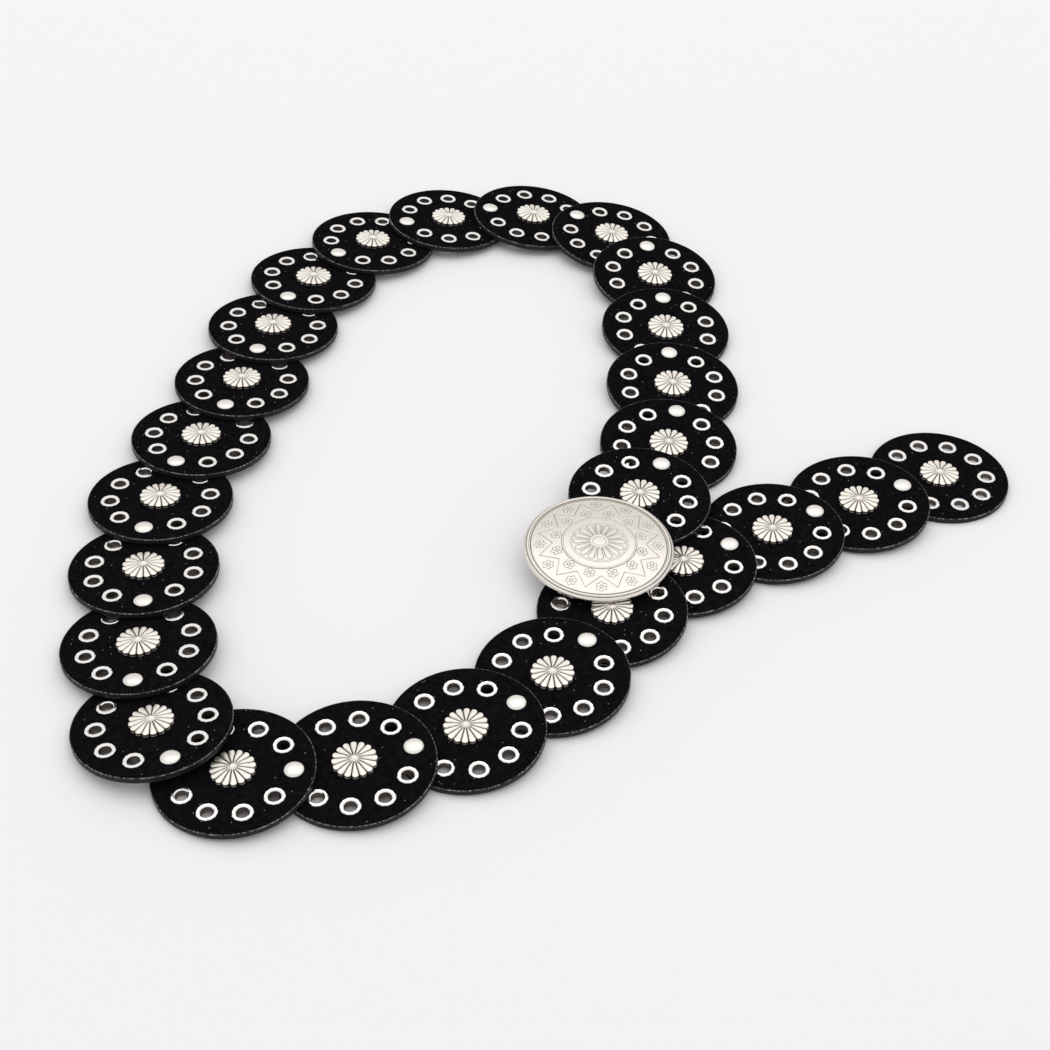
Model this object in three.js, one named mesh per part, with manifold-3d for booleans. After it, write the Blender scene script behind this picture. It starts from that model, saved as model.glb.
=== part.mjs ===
// A concho belt lying on a table: a domed medallion buckle, then a chain of round suede leather
// discs that overlap like shingles. Each disc carries a silver flower concho and a ring of eyelet
// holes, and a domed rivet joins it to the disc under it. The chain closes into a loop, and its
// free tail runs out under the buckle. Lengths are in millimetres and +Z is up.
import * as THREE from "three";
import { mergeVertices } from "three/addons/utils/BufferGeometryUtils.js";
import Module from "manifold-3d";

const wasm = await Module();
wasm.setup();

// Leather discs
const DISC_COUNT = 26;
const DISC_RADIUS = 30;
const DISC_THICKNESS = 2.5;
const DISC_SIDES = 22;
const LAY_GAP = 0.4; // room for the eyelets' flanges between two discs that lie on each other
const LEAN = 0.6; // share of the slope across its heading that a disc takes over from the next one

// Ring of ten places on each disc: place 0 in front for its own rivet, place 5 behind for the rivet
// of the disc above, and eyelet holes between. Cut through are those clear of the neighbours.
const RING_PLACES = 10;
const OPEN_PLACES = [2, 3, 7, 8];
const TIP_PLACES = [0, 1, 2, 3, 4, 6, 7, 8, 9];
const EYELET_RING_RADIUS = 20.6;
const EYELET_HOLE_RADIUS = 2.6;
const EYELET_HOLE_SIDES = 6;

// Rivets
const RIVET_RING_RADIUS = 22.1;
const RIVET_HEAD_RADIUS = 3.8;
const RIVET_HEAD_HEIGHT = 1.5;
const RIVET_HEAD_EDGE = 0.5;
const RIVET_SHANK_RADIUS = 1.5;
const RIVET_FLARE_RADIUS = 2.6;
const RIVET_FLARE_HEIGHT = 1;
const RIVET_SIDES = 6;
const SHANK_CLEARANCE = 0.7;
const FLARE_CLEARANCE = 0.4;
const SINK = 0.3; // how far a head reaches into the piece that it is joined to

// Flower conchos
const FLOWER_PETALS = 16;
const FLOWER_RADIUS = 8.3;
const FLOWER_NOTCH_RADIUS = 7.5;
const FLOWER_EDGE_HEIGHT = 1.3;
const FLOWER_HEIGHT = 2.7;
const FLOWER_SEAT_GAP = 0.2;

// Medallion buckle, a domed shell with a stepped rim
const BUCKLE_RADIUS = 30.7;
const BUCKLE_RIM_WIDTH = 2.4;
const BUCKLE_RIM_HEIGHT = 2.2;
const BUCKLE_STEP = 0.6;
const BUCKLE_DOME_RISE = 3;
const BUCKLE_WALL = 1.5;
const BUCKLE_RING_RADIUS = 14.6;
const BUCKLE_RING_WIDTH = 0.8;
const BUCKLE_RING_HEIGHT = 0.4;
const BUCKLE_BUTTON_RADIUS = 2.7;
const BUCKLE_BUTTON_HEIGHT = 0.8;
const BUCKLE_SIDES = 32;
const BUCKLE_SEAT_GAP = 0.3;
const BUCKLE_LEAD = 18; // from the medallion's centre to the rivet that joins it to the first disc
const BUCKLE_SLOPE = new THREE.Vector2(0, 0.042); // it leans a little towards the front

// Hook behind the medallion, through an eyelet hole of a disc under it
const HOOK_DISC = 22;
const HOOK_PLACE = 2;
const HOOK_RADIUS = 0.9;
const HOOK_BEND_RADIUS = 1;
const HOOK_TOE_LENGTH = 4;
const HOOK_CLEARANCE = 0.3;

// Route of the rivets over the table, from the medallion round the loop to the tip of the tail
const ROUTE = [
  [38, -9.5], [57, 31], [65, 77], [62, 123], [60, 164], [52, 208], [18, 233], [-27, 236],
  [-68, 219], [-99, 187], [-119, 145], [-126, 107], [-135, 60], [-150, 17], [-155, -26],
  [-147, -70], [-143, -112], [-122, -151], [-77, -151], [-35, -136], [1, -111], [27, -75],
  [46, -36], [85, -14], [122, 10], [162, 31], [197, 57],
];
const ROUTE_STEPS = 8000;
const CIRCLE_POINTS = 72; // points tried on each round edge when the pieces are laid
const FIRST_LAY_STEP = 0.1; // changes of slope tried when a piece is laid
const LAST_LAY_STEP = 1e-5;

const FIRST_REAR_HOLE = new THREE.Vector3(-RIVET_RING_RADIUS, 0, 0); // takes the medallion's rivet

const SUEDE = new THREE.MeshStandardMaterial({ color: 0x161617, roughness: 0.95, metalness: 0 });
const SILVER = new THREE.MeshStandardMaterial({ color: 0xd2cabd, roughness: 0.28, metalness: 1 });

// The closed geometry as a solid that can be joined and cut.
function solidOf(geometry) {
  const bare = geometry.clone();
  bare.deleteAttribute("normal");
  bare.deleteAttribute("uv");
  const merged = mergeVertices(bare, 1e-4);
  return new wasm.Manifold(
    new wasm.Mesh({
      numProp: 3,
      vertProperties: new Float32Array(merged.attributes.position.array),
      triVerts: new Uint32Array(merged.index.array),
    }),
  );
}

function geometryOf(solid) {
  const mesh = solid.getMesh();
  const geometry = new THREE.BufferGeometry();
  geometry.setAttribute("position", new THREE.BufferAttribute(mesh.vertProperties, 3));
  geometry.setIndex(new THREE.BufferAttribute(mesh.triVerts, 1));
  return geometry;
}

// A profile of [radius, height] pairs, bottom first, turned round the Z axis.
function turned(profile, sides) {
  const points = profile.map(([radius, height]) => new THREE.Vector2(radius, height));
  return new THREE.LatheGeometry(points, sides).rotateX(Math.PI / 2);
}

function circlePath(radius, sides, x = 0, y = 0) {
  const path = new THREE.Path();
  for (let i = 0; i < sides; i++) {
    const angle = (i * 2 * Math.PI) / sides;
    const corner = [x + radius * Math.cos(angle), y + radius * Math.sin(angle)];
    if (i === 0) path.moveTo(...corner);
    else path.lineTo(...corner);
  }
  path.closePath();
  return path;
}

// Centre of one place of a disc's ring, in the disc's own plane; place 0 is in front.
function ringPlace(place) {
  const angle = (place * 2 * Math.PI) / RING_PLACES;
  return new THREE.Vector2(Math.cos(angle), Math.sin(angle)).multiplyScalar(EYELET_RING_RADIUS);
}

// Rivet points, one chord apart along the smooth route.
function rivetPoints() {
  const corners = ROUTE.map(([x, y]) => new THREE.Vector3(x, y, 0));
  const [before, last] = corners.slice(-2);
  corners.push(last.clone().sub(before).setLength(DISC_RADIUS).add(last));
  const curve = new THREE.CatmullRomCurve3(corners, false, "chordal");
  const chord = 2 * RIVET_RING_RADIUS;
  const found = [curve.getPoint(0)];
  for (let i = 1; found.length <= DISC_COUNT; i++) {
    const point = i <= ROUTE_STEPS ? curve.getPoint(i / ROUTE_STEPS) : null;
    const from = found[found.length - 1];
    if (point === null) found.push(last.clone().sub(before).setLength(chord).add(from));
    else if (point.distanceTo(from) >= chord) found.push(point);
  }
  return found.map((point) => new THREE.Vector2(point.x, point.y));
}

// A round piece that lies on others: its centre in plan, its heading and its tilted under side,
// whose height over the table is height + slope . (point - centre).
function underside(piece, point) {
  return piece.height + piece.slope.dot(point.clone().sub(piece.centre));
}

function topside(piece, point, rise = DISC_THICKNESS) {
  return underside(piece, point) + rise * Math.hypot(1, piece.slope.length());
}

function circlePoints(centre, radius) {
  return Array.from({ length: CIRCLE_POINTS }, (_, i) => {
    const angle = (i * 2 * Math.PI) / CIRCLE_POINTS;
    return new THREE.Vector2(Math.cos(angle), Math.sin(angle)).multiplyScalar(radius).add(centre);
  });
}

// Points that a round piece has to stay above, where its circle meets a round top under it.
function supportPoints(centre, radius, under, underRadius, rise, gap, place = under.centre) {
  const shared = [
    ...circlePoints(centre, radius).filter((p) => p.distanceTo(place) <= underRadius),
    ...circlePoints(place, underRadius).filter((p) => p.distanceTo(centre) <= radius),
  ];
  return shared.map((point) => ({ point, z: topside(under, point, rise) + gap }));
}

// The plane that comes to rest lowest at the centre while it stays above all its supports. Its
// slope starts from a given one and changes only along the given directions.
function restingPlane(centre, supports, firstSlope, directions) {
  const heightFor = (slope) =>
    Math.max(...supports.map(({ point, z }) => z - slope.dot(point.clone().sub(centre))));
  let slope = firstSlope;
  let height = heightFor(slope);
  for (let step = FIRST_LAY_STEP; step > LAST_LAY_STEP; step /= 2) {
    for (let moved = true; moved; ) {
      moved = false;
      for (const direction of directions) {
        const tried = direction.clone().multiplyScalar(step).add(slope);
        const triedHeight = heightFor(tried);
        if (triedHeight < height - 1e-9) {
          slope = tried;
          height = triedHeight;
          moved = true;
        }
      }
    }
  }
  return { slope, height };
}

// Each disc rests on the table and on the discs after it, so the last one is laid first. Its rivet
// makes it lean with the next disc, and it tilts freely along its own heading.
function layDiscs(rivets) {
  const discs = [];
  for (let i = DISC_COUNT - 1; i >= 0; i--) {
    const centre = rivets[i].clone().add(rivets[i + 1]).multiplyScalar(0.5);
    const heading = rivets[i + 1].clone().sub(rivets[i]).normalize();
    const supports = circlePoints(centre, DISC_RADIUS).map((point) => ({ point, z: 0 }));
    for (const under of discs)
      supports.push(
        ...supportPoints(centre, DISC_RADIUS, under, DISC_RADIUS, DISC_THICKNESS, LAY_GAP),
      );
    const across = new THREE.Vector2(-heading.y, heading.x);
    const lean = discs.length ? LEAN * discs[0].slope.dot(across) : 0;
    const along = [heading, heading.clone().negate()];
    const plane = restingPlane(centre, supports, across.multiplyScalar(lean), along);
    discs.unshift({ centre, heading, ...plane });
  }
  return discs;
}

// The medallion rests on the discs, flower conchos and rivet heads under it, and its rivet and hook
// hold it at its slope.
function layBuckle(discs, rivets) {
  const heading = discs[0].heading.clone();
  const centre = rivets[0].clone().addScaledVector(heading, -BUCKLE_LEAD);
  const supports = circlePoints(centre, BUCKLE_RADIUS).map((point) => ({ point, z: 0 }));
  const flowerEdgeTop = DISC_THICKNESS + FLOWER_SEAT_GAP + FLOWER_EDGE_HEIGHT;
  const flowerTop = DISC_THICKNESS + FLOWER_SEAT_GAP + FLOWER_HEIGHT;
  const headTop = DISC_THICKNESS + RIVET_HEAD_HEIGHT;
  const rest = [centre, BUCKLE_RADIUS];
  discs.forEach((disc, i) => {
    const front = rivets[i + 1];
    supports.push(
      ...supportPoints(...rest, disc, DISC_RADIUS, DISC_THICKNESS, BUCKLE_SEAT_GAP),
      ...supportPoints(...rest, disc, FLOWER_RADIUS, flowerEdgeTop, BUCKLE_SEAT_GAP),
      ...supportPoints(...rest, disc, 0, flowerTop, BUCKLE_SEAT_GAP),
      ...supportPoints(...rest, disc, RIVET_HEAD_RADIUS, headTop, BUCKLE_SEAT_GAP, front),
    );
  });
  return { centre, heading, ...restingPlane(centre, supports, BUCKLE_SLOPE, []) };
}

// Matrix of a laid piece: X along its heading, Z up out of its top, origin under its centre.
function matrixOf(piece) {
  const along = new THREE.Vector3(piece.heading.x, piece.heading.y, piece.slope.dot(piece.heading));
  const up = new THREE.Vector3(-piece.slope.x, -piece.slope.y, 1).normalize();
  along.normalize();
  const side = new THREE.Vector3().crossVectors(up, along);
  const matrix = new THREE.Matrix4().makeBasis(along, side, up);
  return matrix.setPosition(piece.centre.x, piece.centre.y, piece.height);
}

// A rivet's part under its head: the shank, whose end is flared out in the hole of the disc below.
// That disc's under side lies at the height floor.
function shankProfile(floor, top) {
  const end = floor + FLARE_CLEARANCE;
  return [
    [0, end],
    [RIVET_FLARE_RADIUS, end],
    [RIVET_SHANK_RADIUS, end + RIVET_FLARE_HEIGHT],
    [RIVET_SHANK_RADIUS, top],
  ];
}

function rivet(floor) {
  const leatherTop = DISC_THICKNESS;
  return turned(
    [
      ...shankProfile(floor, leatherTop - SINK),
      [RIVET_HEAD_RADIUS, leatherTop - SINK],
      [RIVET_HEAD_RADIUS, leatherTop + RIVET_HEAD_EDGE],
      [RIVET_HEAD_RADIUS / 2, leatherTop + RIVET_HEAD_HEIGHT],
      [0, leatherTop + RIVET_HEAD_HEIGHT],
    ],
    RIVET_SIDES,
  );
}

// Where the rivet of the disc above goes through a disc's plane, in the disc's own frame.
function rearHolePlace(above, disc) {
  const toDisc = matrixOf(disc).invert().multiply(matrixOf(above));
  const start = new THREE.Vector3(RIVET_RING_RADIUS, 0, 0).applyMatrix4(toDisc);
  const axis = new THREE.Vector3(0, 0, 1).transformDirection(toDisc);
  const middle = DISC_THICKNESS / 2;
  return start.addScaledVector(axis, (middle - start.z) / axis.z).setZ(0);
}

// The hole behind, widened below for the flared end of the rivet above.
function rivetHole(place) {
  const past = 1;
  const spread = RIVET_FLARE_RADIUS - RIVET_SHANK_RADIUS;
  const narrow = RIVET_SHANK_RADIUS + SHANK_CLEARANCE;
  const coneTop = 2 * FLARE_CLEARANCE + RIVET_FLARE_HEIGHT;
  const profile = [
    [0, -past],
    [narrow + spread, -past],
    [narrow + spread, 0],
    [narrow, coneTop],
    [narrow, DISC_THICKNESS + past],
    [0, DISC_THICKNESS + past],
  ];
  return turned(profile, RIVET_SIDES).translate(...place);
}

// One disc with its holes, and its own rivet in front unless it is the tip of the tail.
function leatherDisc(rearHole, rivetFloor) {
  const outline = new THREE.Shape(circlePath(DISC_RADIUS, DISC_SIDES).getPoints());
  for (const place of rivetFloor === null ? TIP_PLACES : OPEN_PLACES) {
    const { x, y } = ringPlace(place);
    outline.holes.push(circlePath(EYELET_HOLE_RADIUS, EYELET_HOLE_SIDES, x, y));
  }
  const plate = new THREE.ExtrudeGeometry(outline, { depth: DISC_THICKNESS, bevelEnabled: false });
  const leather = solidOf(plate).subtract(solidOf(rivetHole(rearHole)));
  if (rivetFloor === null) return geometryOf(leather);
  const front = rivet(rivetFloor).translate(RIVET_RING_RADIUS, 0, 0);
  return geometryOf(leather.add(solidOf(front)));
}

// A scalloped rosette: petal tips and notches round a low edge, rising to a point in the middle.
function flowerConcho() {
  const edgeCount = 2 * FLOWER_PETALS;
  const outline = Array.from({ length: edgeCount }, (_, i) => {
    const angle = (i * 2 * Math.PI) / edgeCount;
    const radius = i % 2 === 0 ? FLOWER_RADIUS : FLOWER_NOTCH_RADIUS;
    return [radius * Math.cos(angle), radius * Math.sin(angle)];
  });
  const corners = [
    ...outline.flatMap(([x, y]) => [x, y, 0]),
    ...outline.flatMap(([x, y]) => [x, y, FLOWER_EDGE_HEIGHT]),
    ...[0, 0, 0],
    ...[0, 0, FLOWER_HEIGHT],
  ];
  const middle = 2 * edgeCount;
  const crown = middle + 1;
  const faces = outline.flatMap((_, i) => {
    const next = (i + 1) % edgeCount;
    const edge = edgeCount + i;
    const nextEdge = edgeCount + next;
    return [middle, next, i, i, next, edge, next, nextEdge, edge, crown, edge, nextEdge];
  });
  const geometry = new THREE.BufferGeometry();
  geometry.setAttribute("position", new THREE.Float32BufferAttribute(corners, 3));
  geometry.setIndex(faces);
  return geometry;
}

// Height of the medallion's plain face over its rim's bottom, at a radius.
function faceHeight(radius) {
  const inner = BUCKLE_RADIUS - BUCKLE_RIM_WIDTH;
  return BUCKLE_RIM_HEIGHT + BUCKLE_DOME_RISE * (1 - (radius / inner) ** 2);
}

function medallionShell() {
  const inner = BUCKLE_RADIUS - BUCKLE_RIM_WIDTH;
  const ringOuter = BUCKLE_RING_RADIUS + BUCKLE_RING_WIDTH;
  const onFace = (radius, lift = 0) => [radius, faceHeight(radius) + lift];
  const inside = (radius) => onFace(radius, -BUCKLE_WALL);
  const middle = (ringOuter + inner) / 2;
  const profile = [
    inside(0),
    inside(BUCKLE_RING_RADIUS),
    inside(middle),
    inside(inner),
    [inner, 0],
    [BUCKLE_RADIUS - BUCKLE_STEP, 0],
    [BUCKLE_RADIUS, BUCKLE_STEP],
    [BUCKLE_RADIUS, BUCKLE_RIM_HEIGHT - BUCKLE_STEP],
    [BUCKLE_RADIUS - BUCKLE_STEP, BUCKLE_RIM_HEIGHT],
    [inner + BUCKLE_STEP, BUCKLE_RIM_HEIGHT + BUCKLE_STEP],
    onFace(inner),
    onFace(middle),
    onFace(ringOuter),
    onFace(ringOuter, BUCKLE_RING_HEIGHT),
    onFace(BUCKLE_RING_RADIUS, BUCKLE_RING_HEIGHT),
    onFace(BUCKLE_RING_RADIUS),
    onFace(BUCKLE_BUTTON_RADIUS),
    onFace(BUCKLE_BUTTON_RADIUS, BUCKLE_BUTTON_HEIGHT / 2),
    onFace(0, BUCKLE_BUTTON_HEIGHT),
  ];
  return turned(profile, BUCKLE_SIDES);
}

// The rivet and the hook behind the medallion. Each starts inside the medallion's wall and goes
// through a hole of a disc, given by that disc's matrix.
function medallionRivet(length) {
  const profile = shankProfile(0, length);
  return turned([...profile, [0, length]], RIVET_SIDES).translate(...FIRST_REAR_HOLE);
}

function medallionHook(length) {
  const toeHeight = -HOOK_CLEARANCE - HOOK_RADIUS;
  const sides = RIVET_SIDES;
  const stem = new THREE.CylinderGeometry(HOOK_RADIUS, HOOK_RADIUS, length - toeHeight, sides);
  stem.rotateX(Math.PI / 2).translate(0, 0, (length + toeHeight) / 2);
  const toe = new THREE.CylinderGeometry(HOOK_RADIUS, HOOK_RADIUS, HOOK_TOE_LENGTH, sides);
  toe.rotateZ(-Math.PI / 2).translate(HOOK_TOE_LENGTH / 2, 0, toeHeight);
  const { x, y } = ringPlace(HOOK_PLACE);
  const turn = Math.atan2(y, x);
  const bend = new THREE.SphereGeometry(HOOK_BEND_RADIUS, sides, sides / 2);
  bend.translate(0, 0, toeHeight);
  const solid = solidOf(stem).add(solidOf(toe)).add(solidOf(bend));
  return geometryOf(solid).rotateZ(turn).translate(x, y, 0);
}

// Distance from a disc's under side up to the middle of the medallion's wall, over one point.
function reachToWall(buckle, disc, point) {
  const radius = point.distanceTo(buckle.centre);
  return underside(buckle, point) + faceHeight(radius) - BUCKLE_WALL / 2 - underside(disc, point);
}

function medallion(buckle, discs, rivets) {
  const toBuckle = matrixOf(buckle).invert();
  const first = discs[0];
  const hooked = discs[HOOK_DISC - 1];
  const ownFrame = (disc) => toBuckle.clone().multiply(matrixOf(disc));
  const hookPoint = new THREE.Vector3(...ringPlace(HOOK_PLACE), 0).applyMatrix4(matrixOf(hooked));
  const hookPlan = new THREE.Vector2(hookPoint.x, hookPoint.y);
  const rivetLength = reachToWall(buckle, first, rivets[0]);
  const hookLength = reachToWall(buckle, hooked, hookPlan);
  const back = medallionRivet(rivetLength).applyMatrix4(ownFrame(first));
  const hook = medallionHook(hookLength).applyMatrix4(ownFrame(hooked));
  return geometryOf(solidOf(medallionShell()).add(solidOf(back)).add(solidOf(hook)));
}

function placed(name, geometry, material, piece) {
  const mesh = new THREE.Mesh(geometry, material);
  mesh.name = name;
  mesh.applyMatrix4(matrixOf(piece));
  return mesh;
}

const belt = new THREE.Group();
const rivets = rivetPoints();
const discs = layDiscs(rivets);
const buckle = layBuckle(discs, rivets);
belt.add(placed("buckle_medallion", medallion(buckle, discs, rivets), SILVER, buckle));
const flower = flowerConcho().translate(0, 0, DISC_THICKNESS + FLOWER_SEAT_GAP);
discs.forEach((disc, i) => {
  const number = String(i + 1).padStart(2, "0");
  const next = discs[i + 1];
  const rivetFloor = next ? underside(next, rivets[i + 1]) - underside(disc, rivets[i + 1]) : null;
  const rearHole = i === 0 ? FIRST_REAR_HOLE : rearHolePlace(discs[i - 1], disc);
  belt.add(placed("leather_disc_" + number, leatherDisc(rearHole, rivetFloor), SUEDE, disc));
  belt.add(placed("flower_concho_" + number, flower.clone(), SILVER, disc));
});

// The origin is under the middle of the belt's plan, on the table.
const box = new THREE.Box3().setFromObject(belt, true);
const middle = box.getCenter(new THREE.Vector3());
belt.position.set(-middle.x, -middle.y, -box.min.z);

const concho_belt = new THREE.Group();
concho_belt.add(belt);

export default concho_belt;
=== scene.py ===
import bmesh
import bpy
import numpy as np
from mathutils import Matrix


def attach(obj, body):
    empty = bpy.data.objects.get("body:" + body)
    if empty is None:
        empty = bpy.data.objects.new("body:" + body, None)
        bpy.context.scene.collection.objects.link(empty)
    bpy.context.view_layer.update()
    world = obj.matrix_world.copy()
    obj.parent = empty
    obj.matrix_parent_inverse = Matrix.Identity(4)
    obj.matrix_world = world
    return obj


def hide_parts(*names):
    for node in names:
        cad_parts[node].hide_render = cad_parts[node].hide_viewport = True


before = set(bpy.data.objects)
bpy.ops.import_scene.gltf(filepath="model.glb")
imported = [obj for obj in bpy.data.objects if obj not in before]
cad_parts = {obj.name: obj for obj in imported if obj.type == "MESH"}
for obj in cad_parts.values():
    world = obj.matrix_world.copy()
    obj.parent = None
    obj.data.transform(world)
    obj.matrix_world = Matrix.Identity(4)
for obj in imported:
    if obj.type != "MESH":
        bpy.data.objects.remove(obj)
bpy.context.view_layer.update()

# Leather discs
# Each is a round of black suede split, struck from 2.5 mm hide with a die that also punches its ring of
# holes. The face keeps its nap, and the cut edge is dyed and rubbed smooth.

MM = 0.001
WELD = 1e-7  # metres
SHARP_ANGLE = np.radians(40)
DISC_COUNT = 26
DISC_RADIUS = 30.0
DISC_THICKNESS = 2.5
FLOWER_FOOT = 2.7  # height of a flower's foot in the solids, over the disc's under side
RING_PLACES = 10
RING_TURN = 2 * np.pi / RING_PLACES
EYELET_RING_RADIUS = 20.6
RIVET_RING_RADIUS = 22.1
EYELET_HOLE_RADIUS = 2.75
RIVET_HOLE_RADIUS = 2.2
REAR_PLACE = 5
CELL_IN = 13.0
CELL_OUT = 28.6
CELL_STEPS = 8  # points on each side of the cell round a hole
CELL_SHARES = (1, 0.5, 0.12, 0)  # from a cell's border in to the hole's edge
EDGE_ROUND = 0.35
EDGE_LEAD = 0.1  # from the last ring on the flat to the rounding
EDGE_FACES = 4
HEAD_FLOOR = 0.1  # corners higher than this over a disc's face are on its rivet's head


def corners_of(name):
    """The different corners of a CAD node in millimetres, whose mesh repeats them in each triangle."""
    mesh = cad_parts[name].data
    flat = np.empty(3 * len(mesh.vertices))
    mesh.vertices.foreach_get("co", flat)
    return np.unique(np.round(flat.reshape(-1, 3) / MM, 4), axis=0)


def disc_name(number):
    return f"leather_disc_{number + 1:02d}"


def flower_name(number):
    return f"flower_concho_{number + 1:02d}"


def read_disc_places():
    """The frame of each disc: its middle below, and its axes along its heading, to the left and up.

    A flower's corners spread least along its axis, which is the disc's up. The heading is from there
    to the mean of the rivet head's corners, and on the tip it is from the rivet before.
    """
    middles, axes, shanks = [], [], []
    for number in range(DISC_COUNT):
        flower = corners_of(flower_name(number))
        middle = flower.mean(axis=0)
        up = np.linalg.svd(flower - middle)[2][2]
        up = up * np.sign(up[2])
        middle = middle + up * (((flower - middle) @ up).min() - FLOWER_FOOT)
        disc = corners_of(disc_name(number)) - middle
        heights = disc @ up
        heads = disc[heights > DISC_THICKNESS + HEAD_FLOOR]
        if len(heads):
            along = heads.mean(axis=0)
            shanks.append(heights.min())
        else:
            before = middles[-1] + RIVET_RING_RADIUS * axes[-1][0]
            along = middle - before
        along = along - up * (along @ up)
        along = along / np.linalg.norm(along)
        middles.append(middle)
        axes.append(np.array([along, np.cross(up, along), up]))
    return np.array(middles), np.array(axes), np.array(shanks)


disc_middles, disc_axes, shank_ends = read_disc_places()


def on_disc(points, number):
    """Points in a disc's own frame, moved to where that disc lies."""
    return disc_middles[number] + points @ disc_axes[number]


def ring_points(radius, turns):
    """Points (radius cos t, radius sin t) for each t."""
    return np.stack([radius * np.cos(turns), radius * np.sin(turns)], axis=-1)


def grid_quads(rows, columns, first=0):
    """Quads between the rows of a grid of points whose rows close on themselves.

    Point j of row k is joined to point j + 1, and to the same two of row k + 1, which faces outwards
    where the rows go out along the bottom, up and back in along the top.
    """
    row, column = np.meshgrid(np.arange(rows - 1), np.arange(columns), indexing="ij")
    after = (column + 1) % columns
    low, high = row * columns, (row + 1) * columns
    quads = np.stack([low + column, low + after, high + after, high + column], axis=-1)
    return quads.reshape(-1, 4) + first


def turned(profile, turns):
    """A profile of (radius, height) rows carried round the axis: (r cos t, r sin t, height)."""
    radius, height = np.asarray(profile, float).T
    grid = np.empty((len(radius), len(turns), 3))
    grid[..., :2] = ring_points(radius[:, None], turns[None, :])
    grid[..., 2] = height[:, None]
    return grid


def cell_border():
    """The border of the cell round place 0, anticlockwise: out arc, left side, in arc, right side."""
    step = np.arange(CELL_STEPS) / CELL_STEPS
    half = RING_TURN / 2
    out_arc = ring_points(CELL_OUT, half * (2 * step - 1))
    in_arc = ring_points(CELL_IN, half * (1 - 2 * step))
    radii = CELL_OUT + (CELL_IN - CELL_OUT) * step
    left = radii[:, None] * ring_points(1, np.array([half]))
    right = (CELL_OUT + CELL_IN - radii)[:, None] * ring_points(1, np.array([-half]))
    return np.concatenate([out_arc, left, in_arc, right])


def rear_hole(number):
    """Where the axis of the rivet above goes through the middle of a disc's thickness."""
    if number == 0:
        return np.array([-RIVET_RING_RADIUS, 0.0])
    above = number - 1
    start = disc_middles[above] + RIVET_RING_RADIUS * disc_axes[above][0]
    start = (start - disc_middles[number]) @ disc_axes[number].T
    axis = disc_axes[above][2] @ disc_axes[number].T
    return (start + axis * (DISC_THICKNESS / 2 - start[2]) / axis[2])[:2]


def punched_holes(number):
    """Centre and radius of the hole at each place of a disc's ring."""
    centres = ring_points(EYELET_RING_RADIUS, RING_TURN * np.arange(RING_PLACES))
    radii = np.full(RING_PLACES, EYELET_HOLE_RADIUS)
    centres[REAR_PLACE] = rear_hole(number)
    radii[REAR_PLACE] = RIVET_HOLE_RADIUS
    if number < DISC_COUNT - 1:
        centres[0] = (RIVET_RING_RADIUS, 0)
        radii[0] = RIVET_HOLE_RADIUS
    return centres, radii


def leather_round(number):
    """A disc's points and quads in its own frame, which quads lie on its cut edge, and its painted
    highlight.

    Each cell round a hole is a grid from its border, in to the hole's edge, down the hole's wall and
    back out. Between the cells and the rounded edge, and in the middle, a profile is turned. The
    painted highlight of each point is sin(2 a) along the upper corner's arc a, and 0 elsewhere.
    """
    centres, radii = punched_holes(number)
    border = cell_border()
    columns = len(border)
    shares = np.array([*CELL_SHARES, *reversed(CELL_SHARES)])
    heights = np.repeat([DISC_THICKNESS, 0.0], len(CELL_SHARES))
    points, quads, count = [], [], 0
    for place in range(RING_PLACES):
        turn = place * RING_TURN
        turn_matrix = np.array([[np.cos(turn), np.sin(turn)], [-np.sin(turn), np.cos(turn)]])
        outer = border @ turn_matrix
        way = outer - centres[place]
        hole = centres[place] + radii[place] * way / np.linalg.norm(way, axis=1, keepdims=True)
        grid = np.empty((len(shares), columns, 3))
        grid[..., :2] = hole + (outer - hole) * shares[:, None, None]
        grid[..., 2] = heights[:, None]
        points.append(grid.reshape(-1, 3))
        quads.append(grid_quads(len(shares), columns, count))
        count += grid.shape[0] * columns
    arc = np.linspace(0, np.pi / 2, EDGE_FACES + 1)
    corner = DISC_RADIUS - EDGE_ROUND + EDGE_ROUND * np.sin(arc)
    drop = EDGE_ROUND * (1 - np.cos(arc))
    near = DISC_RADIUS - EDGE_ROUND - EDGE_LEAD
    below = [(CELL_OUT, 0), (near, 0), *zip(corner, drop)]
    above = [(r, DISC_THICKNESS - z) for r, z in reversed(below)]
    steps = RING_PLACES * CELL_STEPS
    turns = 2 * np.pi * np.arange(steps) / steps - RING_TURN / 2
    edge_start = sum(len(q) for q in quads)
    for profile in (
        below + above,
        [(CELL_IN, DISC_THICKNESS), (CELL_IN / 2, DISC_THICKNESS), (0, DISC_THICKNESS)],
        [(0, 0), (CELL_IN / 2, 0), (CELL_IN, 0)],
    ):
        grid = turned(profile, turns)
        points.append(grid.reshape(-1, 3))
        quads.append(grid_quads(len(profile), len(turns), count))
        count += grid.shape[0] * grid.shape[1]
    quads = np.concatenate(quads)
    points = np.concatenate(points)
    on_edge = np.hypot(*points[quads].mean(axis=1)[:, :2].T) > DISC_RADIUS - EDGE_ROUND
    on_edge[:edge_start] = False
    out = np.clip((np.hypot(*points[:, :2].T) - DISC_RADIUS) / EDGE_ROUND + 1, 0, 1)
    # painted highlight: a light band along the upper corner's arc, strongest half-way round it
    corner_highlight = np.where(points[:, 2] > DISC_THICKNESS / 2, np.sin(2 * np.arcsin(out)), 0)
    return points, quads, on_edge, corner_highlight


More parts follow.
